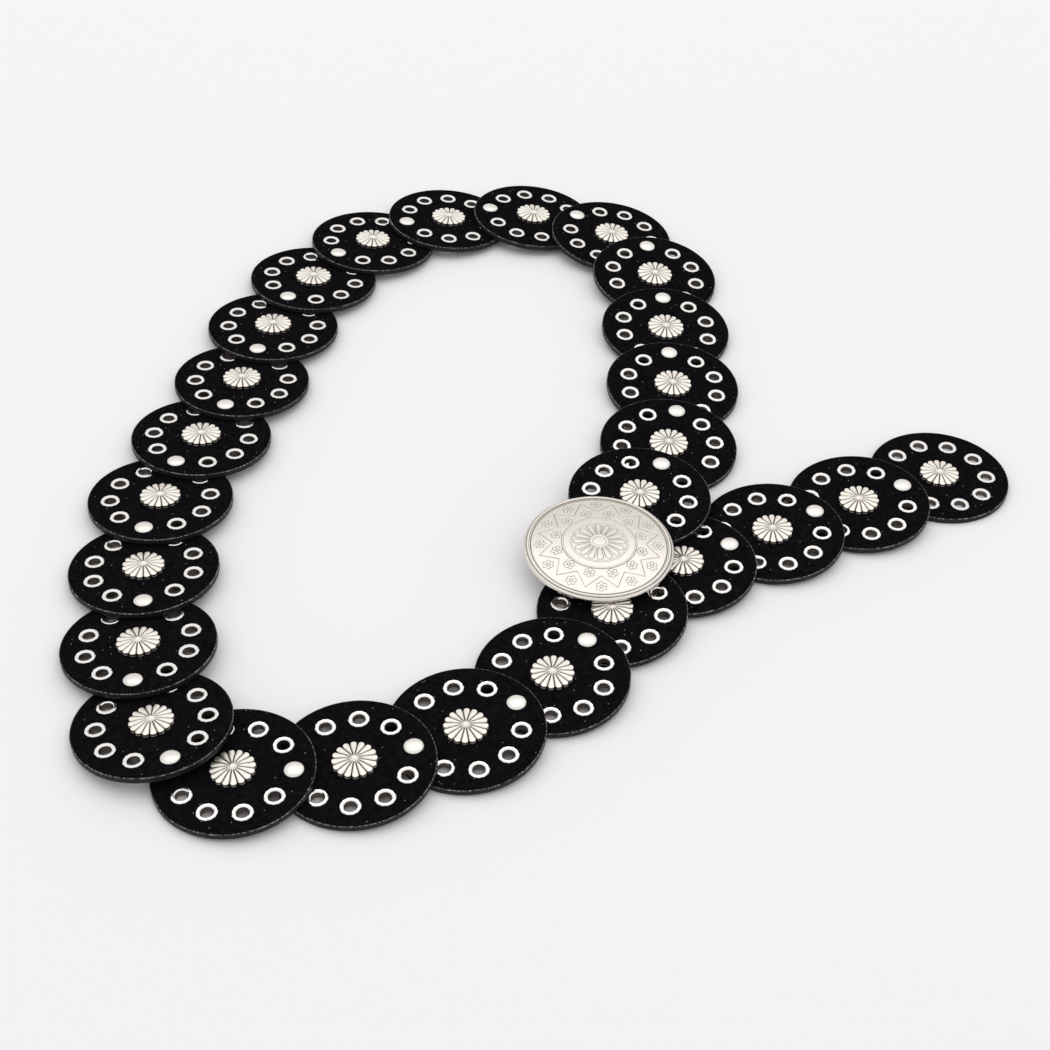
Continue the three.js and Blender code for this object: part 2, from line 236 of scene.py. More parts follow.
def make_piece(name, points, quads, materials, slot, looks=None, marks=None):
    """A welded, smooth mesh object of points in millimetres that rides on the belt.

    looks is the material index of each quad, and marks holds one number a point for the material.
    """
    mesh = bpy.data.meshes.new(name)
    mesh.from_pydata((points * MM).tolist(), [], quads.tolist())
    for material in materials:
        mesh.materials.append(material)
    if looks is not None:
        mesh.polygons.foreach_set("material_index", np.asarray(looks, np.int32))
    for mark, values in (marks or {}).items():
        layer = mesh.attributes.new(mark, "FLOAT", "POINT")
        layer.data.foreach_set("value", np.asarray(values, np.float32))
    work = bmesh.new()
    work.from_mesh(mesh)
    bmesh.ops.remove_doubles(work, verts=work.verts, dist=WELD)
    work.to_mesh(mesh)
    work.free()
    mesh.shade_smooth()
    mesh.set_sharp_from_angle(angle=SHARP_ANGLE)
    piece = bpy.data.objects.new(name, mesh)
    bpy.context.scene.collection.objects.link(piece)
    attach(piece, "root")
    return piece


def linear(hex_colour):
    """An sRGB hex value as linear red, green, blue and full alpha."""
    value = np.array([int(hex_colour[i : i + 2], 16) for i in (0, 2, 4)]) / 255
    bent = np.where(value <= 0.04045, value / 12.92, ((value + 0.055) / 1.055) ** 2.4)
    return (*bent, 1.0)


def per_mm(size):
    """Texture scale on Object coordinates, in metres, for a pattern of this size in millimetres."""
    return 1 / (size * MM)


def add_node(material, kind, settings=None, inputs=None):
    """A node with its settings, each input either linked to a socket or set to a value."""
    tree = material.node_tree
    node = tree.nodes.new(kind)
    for setting, value in (settings or {}).items():
        setattr(node, setting, value)
    for socket, value in (inputs or {}).items():
        if isinstance(value, bpy.types.NodeSocket):
            tree.links.new(value, node.inputs[socket])
        else:
            node.inputs[socket].default_value = value
    return node


MIX_FACTOR, MIX_FIRST, MIX_SECOND, MIX_RESULT = 0, 6, 7, 2  # a colour Mix node's sockets
NAP_CLUMP_MM = 2.2
NAP_FIBRE_MM = 0.5
GLINT_AND_DUST_SPACING_MM = 3.2
GLINT_AND_DUST_SIZE = 0.07  # share of the spacing


def new_material(name):
    material = bpy.data.materials.new(name)
    material.use_nodes = True
    material.node_tree.nodes.clear()
    return material


def finish_material(material, shader):
    add_node(material, "ShaderNodeOutputMaterial", inputs={"Surface": shader.outputs["BSDF"]})
    return material


def black_suede():
    """Suede split, dyed black, nap brushed up.

    It is matt and almost black. Clumps of nap that lean to and fro make it a little patchy. A few pale
    specks are partly dust and cut fibre, and partly painted glints where fibres catch the light.
    """
    material = new_material("black_suede")
    place = add_node(material, "ShaderNodeTexCoord").outputs["Object"]
    clumps = add_node(
        material,
        "ShaderNodeTexNoise",
        inputs={"Vector": place, "Scale": per_mm(NAP_CLUMP_MM), "Detail": 4.0, "Roughness": 0.6},
    )
    fibres = add_node(
        material,
        "ShaderNodeTexNoise",
        inputs={"Vector": place, "Scale": per_mm(NAP_FIBRE_MM), "Detail": 3.0, "Roughness": 0.7},
    )
    nap = add_node(
        material,
        "ShaderNodeMath",
        {"operation": "MULTIPLY"},
        {0: clumps.outputs["Fac"], 1: fibres.outputs["Fac"]},
    )
    spread = add_node(
        material,
        "ShaderNodeMapRange",
        inputs={"Value": nap.outputs[0], "From Min": 0.12, "From Max": 0.42},
    )
    shade = add_node(
        material,
        "ShaderNodeMix",
        {"data_type": "RGBA"},
        {
            MIX_FACTOR: spread.outputs[0],
            MIX_FIRST: linear("08080A"),
            MIX_SECOND: linear("1A191C"),
        },
    )
    # pale specks: partly dust, partly painted glints of fibres that catch the light
    glints_and_dust = add_node(
        material,
        "ShaderNodeTexVoronoi",
        inputs={"Vector": place, "Scale": per_mm(GLINT_AND_DUST_SPACING_MM)},
    )
    speck = add_node(
        material,
        "ShaderNodeMapRange",
        inputs={
            "Value": glints_and_dust.outputs["Distance"],
            "From Min": GLINT_AND_DUST_SIZE,
            "From Max": GLINT_AND_DUST_SIZE / 2,
        },
    )
    with_glints_and_dust = add_node(
        material,
        "ShaderNodeMix",
        {"data_type": "RGBA"},
        {
            MIX_FACTOR: speck.outputs[0],
            MIX_FIRST: shade.outputs[MIX_RESULT],
            MIX_SECOND: linear("AFADB2"),
        },
    )
    bump = add_node(
        material,
        "ShaderNodeBump",
        inputs={"Strength": 0.6, "Distance": 0.1 * MM, "Height": nap.outputs[0]},
    )
    shader = add_node(
        material,
        "ShaderNodeBsdfPrincipled",
        inputs={
            "Base Color": with_glints_and_dust.outputs[MIX_RESULT],
            "Roughness": 0.95,
            "Specular IOR Level": 0.0,
            "Normal": bump.outputs["Normal"],
        },
    )
    return finish_material(material, shader)


EDGE_GRAIN_MM = 1.1


def edge_with_painted_highlight():
    """Cut edge of hide, dyed and slicked.

    It is charcoal, a little shiny and uneven, and a thin broken grey line is painted along its upper
    corner as a painted highlight.
    """
    material = new_material("dyed_leather_edge_painted_highlight")
    place = add_node(material, "ShaderNodeTexCoord").outputs["Object"]
    grain = add_node(
        material,
        "ShaderNodeTexNoise",
        inputs={"Vector": place, "Scale": per_mm(EDGE_GRAIN_MM), "Detail": 5.0, "Roughness": 0.7},
    )
    shade = add_node(
        material,
        "ShaderNodeMix",
        {"data_type": "RGBA"},
        {
            MIX_FACTOR: grain.outputs["Fac"],
            MIX_FIRST: linear("0B0B0C"),
            MIX_SECOND: linear("222123"),
        },
    )
    # painted highlight along the upper corner, broken up by the grain
    corner = add_node(material, "ShaderNodeAttribute", {"attribute_name": "corner_highlight"})
    broken = add_node(
        material,
        "ShaderNodeMapRange",
        inputs={"Value": grain.outputs["Fac"], "From Min": 0.46, "From Max": 0.6},
    )
    painted_highlight = add_node(
        material,
        "ShaderNodeMath",
        {"operation": "MULTIPLY"},
        {0: corner.outputs["Fac"], 1: broken.outputs[0]},
    )
    highlighted = add_node(
        material,
        "ShaderNodeMix",
        {"data_type": "RGBA"},
        {
            MIX_FACTOR: painted_highlight.outputs[0],
            MIX_FIRST: shade.outputs[MIX_RESULT],
            MIX_SECOND: linear("A19D9D"),
        },
    )
    gloss = add_node(
        material,
        "ShaderNodeMapRange",
        inputs={
            "Value": grain.outputs["Fac"],
            "From Min": 0.35,
            "From Max": 0.65,
            "To Min": 0.6,
            "To Max": 0.38,
        },
    )
    bump = add_node(
        material,
        "ShaderNodeBump",
        inputs={"Strength": 0.7, "Distance": 0.12 * MM, "Height": grain.outputs["Fac"]},
    )
    shader = add_node(
        material,
        "ShaderNodeBsdfPrincipled",
        inputs={
            "Base Color": highlighted.outputs[MIX_RESULT],
            "Roughness": gloss.outputs[0],
            "Specular IOR Level": 0.22,
            "Normal": bump.outputs["Normal"],
        },
    )
    return finish_material(material, shader)


suede = black_suede()
edge = edge_with_painted_highlight()
for number in range(DISC_COUNT):
    points, quads, on_edge, corner_highlight = leather_round(number)
    leather = make_piece(
        f"suede_disc_{number + 1:02d}",
        on_disc(points, number),
        quads,
        [suede, edge],
        "black_suede",
        looks=on_edge,
        marks={"corner_highlight": corner_highlight},
    )
    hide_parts(disc_name(number))

# Rivets between the discs
# Each is a nickel-plated steel rivet with a domed head, through the front of one disc and the back of
# the next, where its end is flared out, so that the two discs can swivel on it.

RIVET_HEAD_RADIUS = 3.8
RIVET_HEAD_HEIGHT = 1.5
RIVET_HEAD_EDGE = 0.35
RIVET_HEAD_CHAMFER = 0.1
RIVET_SHANK_RADIUS = 1.5
RIVET_FLARE_RADIUS = 2.5
RIVET_FLARE_HEIGHT = 1.0
RIVET_FLARE_CHAMFER = 0.15
RIVET_SINK = 0.1
RIVET_SIDES = 28
DOME_ROWS = 8


def shank_profile(end, top):
    """From the flared end, up the flare and the shank to its top."""
    return [
        (0, end),
        (RIVET_FLARE_RADIUS - RIVET_FLARE_CHAMFER, end),
        (RIVET_FLARE_RADIUS, end + RIVET_FLARE_CHAMFER),
        (RIVET_SHANK_RADIUS, end + RIVET_FLARE_HEIGHT),
        (RIVET_SHANK_RADIUS, top),
    ]


def rivet_profile(end):
    """The shank, the head's flat under side and upright edge, and a dome of sine and cosine."""
    leather = DISC_THICKNESS - RIVET_SINK
    turn = np.linspace(0, np.pi / 2, DOME_ROWS + 1)
    shoulder = DISC_THICKNESS + RIVET_HEAD_EDGE
    dome = zip(
        RIVET_HEAD_RADIUS * np.cos(turn),
        shoulder + (RIVET_HEAD_HEIGHT - RIVET_HEAD_EDGE) * np.sin(turn),
    )
    under_head = (RIVET_HEAD_RADIUS - RIVET_HEAD_CHAMFER, leather)
    return [*shank_profile(end, leather), under_head, *dome]


def joined(grids):
    """Several grids of points whose rows close, as one list of points and one of quads."""
    points, quads, count = [], [], 0
    for grid in grids:
        rows, columns = grid.shape[:2]
        points.append(grid.reshape(-1, 3))
        quads.append(grid_quads(rows, columns, count))
        count += rows * columns
    return np.concatenate(points), np.concatenate(quads)


POLISH_MM = 6.0


def bright_nickel(name, colour, dullness):
    """Bright nickel plate, barrel polished.

    It mirrors the pale room with soft, slightly uneven edges and is a touch warmer than chrome.
    """
    material = new_material(name)
    place = add_node(material, "ShaderNodeTexCoord").outputs["Object"]
    polish = add_node(
        material,
        "ShaderNodeTexNoise",
        inputs={"Vector": place, "Scale": per_mm(POLISH_MM), "Detail": 3.0},
    )
    gloss = add_node(
        material,
        "ShaderNodeMapRange",
        inputs={"Value": polish.outputs["Fac"], "To Min": dullness, "To Max": dullness + 0.14},
    )
    shader = add_node(
        material,
        "ShaderNodeBsdfPrincipled",
        inputs={
            "Base Color": linear(colour),
            "Metallic": 1.0,
            "Roughness": gloss.outputs[0],
        },
    )
    return finish_material(material, shader)


nickel = bright_nickel("bright_nickel_plate", "EEEAE4", 0.22)
rivet_turns = 2 * np.pi * np.arange(RIVET_SIDES) / RIVET_SIDES
rivet_grids = []
for number, end in enumerate(shank_ends):
    grid = turned(rivet_profile(end), rivet_turns) + [RIVET_RING_RADIUS, 0, 0]
    rivet_grids.append(on_disc(grid, number))
make_piece("disc_rivets", *joined(rivet_grids), [nickel], "silver_metal")

# Eyelets
# Each is a rolled nickel-plated brass eyelet, pressed through a punched hole so that its barrel is
# curled over behind the leather. There are eight in a disc's ring, and nine in the tip's.

EYELET_SIDES = 12
EYELET_BORE = 2.5
EYELET_FLANGE = 4.05
EYELET_ROLL = 0.28  # how far the flange stands over the leather
EYELET_CURL = 0.05  # how far the curled end stands out behind
EYELET_CURL_WIDTH = 0.8
EYELET_SINK = 0.05  # how far the flange's edge is pressed into the nap
EYELET_EDGE_BEVEL = 0.35
EYELET_MOUTH_BEVEL = 0.45
EYELET_MOUTH_DROP = 0.1
EYELET_BORE_TOP = (EYELET_BORE, DISC_THICKNESS - EYELET_MOUTH_DROP)
EYELET_PROFILE = [
    EYELET_BORE_TOP,
    (EYELET_BORE, -EYELET_CURL),
    (EYELET_BORE + EYELET_CURL_WIDTH, -EYELET_CURL),
    (EYELET_FLANGE, DISC_THICKNESS - EYELET_SINK),
    (EYELET_FLANGE - EYELET_EDGE_BEVEL, DISC_THICKNESS + EYELET_ROLL),
    (EYELET_BORE + EYELET_MOUTH_BEVEL, DISC_THICKNESS + EYELET_ROLL),
    EYELET_BORE_TOP,
]


def bore_with_painted_shade():
    """Nickel for the inside of the barrels, half matt and painted brown-grey, darker than the flange,
    as painted shade in the hole.
    """
    material = new_material("bore_nickel_painted_shade")
    shader = add_node(
        material,
        "ShaderNodeBsdfPrincipled",
        inputs={"Base Color": linear("7E756E"), "Metallic": 1.0, "Roughness": 0.5},
    )
    return finish_material(material, shader)


def eyelet_grids():
    """The rolled profile at every free place of each disc's ring, turned to that place."""
    turns = 2 * np.pi * np.arange(EYELET_SIDES) / EYELET_SIDES
    shape = turned(EYELET_PROFILE, turns)
    grids = []
    for number in range(DISC_COUNT):
        last = number == DISC_COUNT - 1
        for place in range(0 if last else 1, RING_PLACES):
            if place == REAR_PLACE:
                continue
            x, y = ring_points(EYELET_RING_RADIUS, place * RING_TURN)
            grids.append(on_disc(shape + [x, y, 0], number))
    return grids


points, quads = joined(eyelet_grids())
# the bores take the darker metal: painted shade inside the eyelets' holes
bands = np.arange(len(quads)) // EYELET_SIDES % (len(EYELET_PROFILE) - 1)
looks = bands == EYELET_PROFILE.index(EYELET_BORE_TOP)
eyelet_metals = [bright_nickel("bright_rolled_nickel", "FAF8F5", 0.1), bore_with_painted_shade()]
make_piece("disc_eyelets", points, quads, eyelet_metals, "silver_metal", looks=looks)

# Flower conchos
# Each is a small cast flower of silver-plated zinc with sixteen petals and a button in the middle, held
# by prongs through the disc. The dark finish was left in the cuts between the petals, and the petals'
# edges and the hollow under them are painted dark as painted shade and painted reflection of the black
# leather.

FLOWER_PETALS = 16
FLOWER_RADIUS = 8.5
FLOWER_NOTCH_RADIUS = 6.9
FLOWER_EDGE_HEIGHT = 1.4
FLOWER_HEIGHT = 2.4
FLOWER_EDGE_ROUND = 0.25
FLOWER_UNDER = [  # from the foot up: out from the outline, height, and how dark it is painted, as painted shade and painted reflection of the black leather
    (-0.1, 0.0, 1.0),
    (-0.05, 0.15, 0.75),
    (-0.5, 0.4, 1.0),
    (-0.6, 0.65, 1.0),
    (-0.1, 1.0, 1.0),
]
FLOWER_BUTTON_RADIUS = 1.1
FLOWER_BUTTON_HEIGHT = 0.4
FLOWER_CUT_DEPTH = 0.5
FLOWER_BULGE = 0.1  # how much higher a petal is along its middle than beside its cuts
FLOWER_CUT_STEPS = (0.18, 0.44)  # from a cut's middle to its lip and to where the petal starts
FLOWER_CUT_SHARES = (0.25, 0.5)  # the largest share of half a petal that each of them takes
FLOWER_CUT_FADE = 0.8  # over which the cuts run out beside the button
FLOWER_ROWS = 22
FLOWER_ROW_POWER = 1.25  # brings the rows closer together towards the edge
FLOWER_SLOPE_POWER = 1.6
FLOWER_LEAST_RADIUS = 0.01  # at which the columns of the middle row are spaced


def flower_columns(radius):
    """Turns of the eight columns of each petal at a radius, and their share from a cut to a middle.

    Two columns on each side of a cut keep their distance in millimetres, as a cut is as wide all
    along, but no more than their share of the petal; the others lie between.
    """
    half = np.pi / FLOWER_PETALS
    steps = zip(FLOWER_CUT_STEPS, FLOWER_CUT_SHARES)
    lip, start = (np.minimum(step / radius, most * half) for step, most in steps)
    between = (start + half) / 2
    zero = np.zeros_like(radius)
    right = np.stack([zero, lip, start, between, zero + half], axis=-1)
    off = np.concatenate([right, 2 * half - right[..., 3:0:-1]], axis=-1)
    turns = off[..., None, :] + 2 * half * np.arange(FLOWER_PETALS)[:, None]
    share = 1 - np.abs(off / half - 1)
    flat = (*radius.shape, -1)
    return turns.reshape(flat), np.tile(share, FLOWER_PETALS).reshape(flat)


def flower_grid():
    """Rows from the foot up the hollow under the edge and in to the middle, all round the flower.

    A petal ends in the arc sqrt(1 - (1 - s)^2) of its share s from cut to middle. Petals rise from the
    edge as 1 - u^1.6, bulge a little, and part in narrow cuts that fade at the button. Also returned is
    how dark each point is coloured: full on the upright edge and the hollow under it, as painted shade
    and painted reflection of the black leather, less at each petal's middle on the foot, and in the
    cuts above as deep as the cuts, for the dark film left there.
    """
    along = 1 - np.linspace(0, 1, FLOWER_ROWS) ** FLOWER_ROW_POWER
    turns, share = flower_columns(np.maximum(FLOWER_NOTCH_RADIUS * along, FLOWER_LEAST_RADIUS))
    rim_share = np.sqrt(1 - (1 - share[0]) ** 2)
    outline = FLOWER_NOTCH_RADIUS + (FLOWER_RADIUS - FLOWER_NOTCH_RADIUS) * rim_share
    radius = outline * along[:, None]
    slope = 1 - along**FLOWER_SLOPE_POWER
    rise = FLOWER_EDGE_HEIGHT + (FLOWER_HEIGHT - FLOWER_EDGE_HEIGHT) * slope
    shoulder = np.clip(1 - (1 - along) * FLOWER_RADIUS / FLOWER_EDGE_ROUND, 0, 1)
    rise = rise - FLOWER_EDGE_ROUND * (1 - np.sqrt(1 - shoulder**2))
    fade = np.clip((radius - FLOWER_BUTTON_RADIUS) / FLOWER_CUT_FADE, 0, 1)
    across = np.minimum(share * np.pi / FLOWER_PETALS * radius, FLOWER_CUT_STEPS[1])
    cut = (1 - across / FLOWER_CUT_STEPS[1]) * fade
    # the edge row is coloured fully dark: painted shade and painted reflection of the leather on the
    # petals' edge
    cut_film_and_edge_shade = cut.copy()
    cut_film_and_edge_shade[0] = 1
    top = rise[:, None] - FLOWER_CUT_DEPTH * cut - FLOWER_BULGE * (1 - share) ** 2 * fade
    button = np.clip(1 - (radius / FLOWER_BUTTON_RADIUS) ** 2, 0, 1)
    top = top + FLOWER_BUTTON_HEIGHT * np.sqrt(button)
    # the third column is painted shade and painted reflection of the black leather on the wall under
    # the petals
    out, up, film = np.array([(-FLOWER_RADIUS, 0, 0), *FLOWER_UNDER]).T
    foot = np.zeros((len(up), turns.shape[1], 3))
    foot[1:, :, :2] = ring_points(outline + out[1:, None], turns[:1])
    foot[1:, :, 2] = up[1:, None]
    grid = np.empty((*radius.shape, 3))
    grid[..., :2] = ring_points(radius, turns)
    grid[..., 2] = top
    grid = np.concatenate([foot, grid])
    grid[..., 2] += DISC_THICKNESS
    # under the petals: painted shade, lighter at the middle of each petal on the foot's lip
    painted_shade_below = np.maximum(film[:, None], 1 - share[0])
    return grid, np.concatenate([painted_shade_below, cut_film_and_edge_shade])


PATINA_MM = 1.4


def plated_silver(name, colour, dullness, film_colour):
    """Silver plate with an antique finish, wiped back.

    The raised faces are pale and warm with a soft gloss, and the cuts keep a dark brown-grey film. On
    the flowers the same dark colour is also laid on the petals' edges and under them as painted shade.
    """
    material = new_material(name)
    place = add_node(material, "ShaderNodeTexCoord").outputs["Object"]
    depth = add_node(material, "ShaderNodeAttribute", {"attribute_name": "cut"})
    cloud = add_node(
        material,
        "ShaderNodeTexNoise",
        inputs={"Vector": place, "Scale": per_mm(PATINA_MM), "Detail": 4.0, "Roughness": 0.6},
    )
    uneven = add_node(
        material,
        "ShaderNodeMapRange",
        inputs={"Value": cloud.outputs["Fac"], "To Min": -0.16, "To Max": 0.16},
    )
    film = add_node(
        material,
        "ShaderNodeMath",
        {"operation": "ADD"},
        {0: depth.outputs["Fac"], 1: uneven.outputs[0]},
    )
    film = add_node(
        material,
        "ShaderNodeMapRange",
        inputs={"Value": film.outputs[0], "From Min": 0.3, "From Max": 0.95},
    )
    shade = add_node(
        material,
        "ShaderNodeMix",
        {"data_type": "RGBA"},
        {
            MIX_FACTOR: film.outputs[0],
            MIX_FIRST: linear(colour),
            MIX_SECOND: linear(film_colour),
        },
    )
    gloss = add_node(
        material,
        "ShaderNodeMapRange",
        inputs={"Value": cloud.outputs["Fac"], "To Min": dullness, "To Max": dullness + 0.14},
    )
    shader = add_node(
        material,
        "ShaderNodeBsdfPrincipled",
        inputs={
            "Base Color": shade.outputs[MIX_RESULT],
            "Metallic": 1.0,
            "Roughness": gloss.outputs[0],
        },
    )
    return finish_material(material, shader)


flower_silver = plated_silver("antique_silver_plate", "F7F1E8", 0.33, "241E1A")
flower_shape, flower_film_and_shade = flower_grid()
for number in range(DISC_COUNT):
    points, quads = joined([on_disc(flower_shape, number)])
    flower = make_piece(
        f"silver_flower_{number + 1:02d}",
        points,
        quads,
        [flower_silver],
        "silver_metal",
        marks={"cut": flower_film_and_shade.ravel()},
    )
    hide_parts(flower_name(number))

# Buckle medallion
# A domed plate of silver-plated brass, pressed in a die with a sunburst, a band of points and stamped
# rosettes, inside a rolled rim. The dark finish was left in its lines.

BUCKLE_RADIUS = 30.7
BUCKLE_FACE_RADIUS = 28.3
BUCKLE_RIM_HEIGHT = 2.2
BUCKLE_DOME_RISE = 3.0
BUCKLE_WALL = 1.5
BUCKLE_CROWN = 6.0  # the button's top over the rim's bottom
BUCKLE_RING = (14.6, 15.4)
BUCKLE_RING_HEIGHT = 0.25
BUCKLE_BUTTON_RADIUS = 2.7
BUCKLE_BUTTON_HEIGHT = 0.15
BUCKLE_BUTTON_POWER = 4  # flattens the button's top
BUCKLE_COLUMNS = 600
BUCKLE_ROWS = 140
BUCKLE_BACK_ROWS = 7
BUCKLE_RIM_REACH = 0.2  # past the radius, what is this far from the crown is on the rim
BUCKLE_RIM = [
    (28.3, 0.0),
    (29.6, 0.0),
    (30.3, 0.12),
    (30.62, 0.5),
    (30.7, 1.0),
    (30.66, 1.4),
    (30.45, 1.8),
    (30.1, 2.05),
    (29.7, 2.15),
    (29.45, 2.22),
    (29.38, 2.5),
    (29.15, 2.7),
    (28.85, 2.76),
    (28.6, 2.66),
    (28.46, 2.35),
    (28.4, 2.12),
]
RIM_FILM = {8: 0.7, 9: 1.0, 14: 0.5, 15: 0.7}  # points of the rim that keep the dark film, and how much
LINE_WIDTH = 0.42
FINE_LINE_WIDTH = 0.36
LINE_DEPTH = 0.12
RIM_LINE = 27.8
RIM_LINE_WIDTH = 0.7
PATTERN_TURN = np.radians(3)
SUN_PETALS = 16
SUN_IN, SUN_OUT = 4.4, 9.2
SUN_HALF_IN, SUN_HALF_OUT = 0.62, 1.35
SUN_LINE_GAP = 0.5
SUN_INNER_DEPTH = 0.5  # of the inner outline, as a share of the outer one's
SUN_RINGS = (11.1, 11.8)
RING_DEPTH = 0.75
STAR_POINTS = 12
STAR_IN, STAR_OUT = 0.67 * BUCKLE_FACE_RADIUS, 0.89 * BUCKLE_FACE_RADIUS
ROSETTE_RINGS = (0.85 * BUCKLE_FACE_RADIUS, 0.63 * BUCKLE_FACE_RADIUS)
ROSETTE_RADIUS = 2.05
ROSETTE_SCALLOP = 0.32
ROSETTE_HEART = 0.65
ROSETTE_PETALS = 6
ROSETTE_PETAL_DEPTH = 0.8
NO_LINE = 9.0  # a distance at which no line is cut


def dome_height(radius):
    """The plain face over the rim's bottom: a shallow bowl upside down."""
    return BUCKLE_RIM_HEIGHT + BUCKLE_DOME_RISE * (1 - (radius / BUCKLE_FACE_RADIUS) ** 2)


def engraved(distance, width=LINE_WIDTH):
    """Depth, from 0 to 1, of a round-bottomed line at a distance from its middle."""
    return np.clip(1 - (2 * distance / width) ** 2, 0, 1)


def sunburst(radius, turn):
    """Sixteen petals round the button, each with two outlines: a bar that widens outwards."""
    step = 2 * np.pi / SUN_PETALS
    off = (turn + step / 2) % step - step / 2
    along, across = radius * np.cos(off), radius * np.sin(off)
    share = np.clip((along - SUN_IN) / (SUN_OUT - SUN_IN), 0, 1)
    half = SUN_HALF_IN + (SUN_HALF_OUT - SUN_HALF_IN) * share
    past = along - (SUN_IN + (SUN_OUT - SUN_IN) * share)
    edge_distance = np.hypot(across, past) - half
    outer = engraved(np.abs(edge_distance), FINE_LINE_WIDTH)
    inner = engraved(np.abs(edge_distance + SUN_LINE_GAP), FINE_LINE_WIDTH)
    return np.maximum(outer, SUN_INNER_DEPTH * inner)


def rosette(x, y):
    """A stamped flower of six petals: a scalloped outline, a heart and the lines between petals."""
    far, turn = np.hypot(x, y), np.arctan2(y, x)
    outline = np.abs(far - ROSETTE_RADIUS - ROSETTE_SCALLOP * np.cos(ROSETTE_PETALS * turn))
    heart = np.abs(far - ROSETTE_HEART)
    step = 2 * np.pi / ROSETTE_PETALS
    off = turn % step - step / 2
    on_petals = (far > ROSETTE_HEART) & (far < ROSETTE_RADIUS)
    between = np.where(on_petals, np.abs(far * np.sin(off)), NO_LINE)
    parted = ROSETTE_PETAL_DEPTH * engraved(between, FINE_LINE_WIDTH)
    return np.maximum(engraved(outline), np.maximum(engraved(heart), parted))


def star_band(radius, turn):
    """A zigzag of twelve points and a rosette in each of its corners, folded into one half point."""
    step = 2 * np.pi / STAR_POINTS
    off = np.abs((turn + np.pi / 2 + step / 2) % step - step / 2)
    x, y = radius * np.cos(off), radius * np.sin(off)
    start = np.array([STAR_IN, 0.0])
    end = STAR_OUT * np.array([np.cos(step / 2), np.sin(step / 2)])
    way = end - start
    share = np.clip(((x - start[0]) * way[0] + (y - start[1]) * way[1]) / (way @ way), 0, 1)
    line = np.hypot(x - start[0] - share * way[0], y - start[1] - share * way[1])
    outer = rosette(x - ROSETTE_RINGS[0], y)
    cos, sin = np.cos(step / 2), np.sin(step / 2)
    inner = rosette(x * cos + y * sin - ROSETTE_RINGS[1], y * cos - x * sin)
    return np.maximum(engraved(line), np.maximum(outer, inner))


def medallion_lines(radius, turn):
    """Every line of the face as one depth from 0 to 1."""
    turn = turn - PATTERN_TURN
    lines = np.maximum(sunburst(radius, turn), star_band(radius, turn))
    for ring in (BUCKLE_BUTTON_RADIUS, *SUN_RINGS, *BUCKLE_RING):
        lines = np.maximum(lines, RING_DEPTH * engraved(np.abs(radius - ring)))
    return np.maximum(lines, engraved(np.abs(radius - RIM_LINE), RIM_LINE_WIDTH))


def medallion_grid():
    """Rows from the hollow back, out and round the rolled rim, and in over the engraved face."""
    turns = 2 * np.pi * np.arange(BUCKLE_COLUMNS) / BUCKLE_COLUMNS
    back_radii = np.linspace(0, BUCKLE_FACE_RADIUS, BUCKLE_BACK_ROWS)
    back = turned(np.stack([back_radii, dome_height(back_radii) - BUCKLE_WALL], axis=1), turns)
    rim = turned(BUCKLE_RIM, turns)
    radius = np.linspace(BUCKLE_FACE_RADIUS, 0, BUCKLE_ROWS)[:, None]
    lines = medallion_lines(radius, turns[None, :])
    inner, outer = BUCKLE_RING
    half = (outer - inner) / 2
    ring = BUCKLE_RING_HEIGHT * engraved(np.abs(radius - inner - half), 2 * half) ** 0.5
    button = np.clip(1 - (radius / BUCKLE_BUTTON_RADIUS) ** BUCKLE_BUTTON_POWER, 0, 1)
    height = dome_height(radius) + ring + BUCKLE_BUTTON_HEIGHT * np.sqrt(button)
    face = np.empty((BUCKLE_ROWS, BUCKLE_COLUMNS, 3))
    face[..., :2] = ring_points(radius, turns[None, :])
    face[..., 2] = height - LINE_DEPTH * lines
    plain = np.zeros((len(back) + len(rim), BUCKLE_COLUMNS))
    for point, film in RIM_FILM.items():
        plain[len(back) + point] = film
    return np.concatenate([back, rim, face]), np.concatenate([plain, lines])


def read_buckle_place():
    """The middle of the rim's under side and the axes of the medallion, from the node's corners.

    The button's top is the highest corner, and the corners furthest from it are the rim's widest
    rings, which spread least along the medallion's axis.
    """
    corners = corners_of("buckle_medallion")
    crown = corners[corners[:, 2].argmax()]
    far = np.linalg.norm(corners - crown, axis=1)
    rings = corners[far > BUCKLE_RADIUS + BUCKLE_RIM_REACH]
    up = np.linalg.svd(rings - rings.mean(axis=0))[2][2]
    up = up * np.sign(up[2])
    side = np.cross(up, [1.0, 0, 0])
    side = side / np.linalg.norm(side)
    return crown - BUCKLE_CROWN * up, np.array([np.cross(side, up), side, up])


buckle_middle, buckle_axes = read_buckle_place()
buckle_silver = plated_silver("polished_silver_plate", "E6E0D8", 0.18, "4F4840")
buckle_shape, buckle_cuts = medallion_grid()
points, quads = joined([buckle_middle + buckle_shape @ buckle_axes])
medallion = make_piece(
    "engraved_medallion",
    points,
    quads,
    [buckle_silver],
    "silver_metal",
    marks={"cut": buckle_cuts.ravel()},
)
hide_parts("buckle_medallion")

# Medallion's rivet and hook
# Both are nickel-plated steel, soldered behind the medallion. The rivet holds the first disc, and the
# hook goes through an eyelet of a disc further on, which fastens the belt.

HOOK_DISC = 21
HOOK_PLACE = 2
HOOK_RADIUS = 0.9
HOOK_BEND = 1.1
HOOK_BEND_POINTS = 7
HOOK_TOE = 4.0
HOOK_DROP = 1.2
RIVET_END = 0.4
TUBE_SIDES = 16


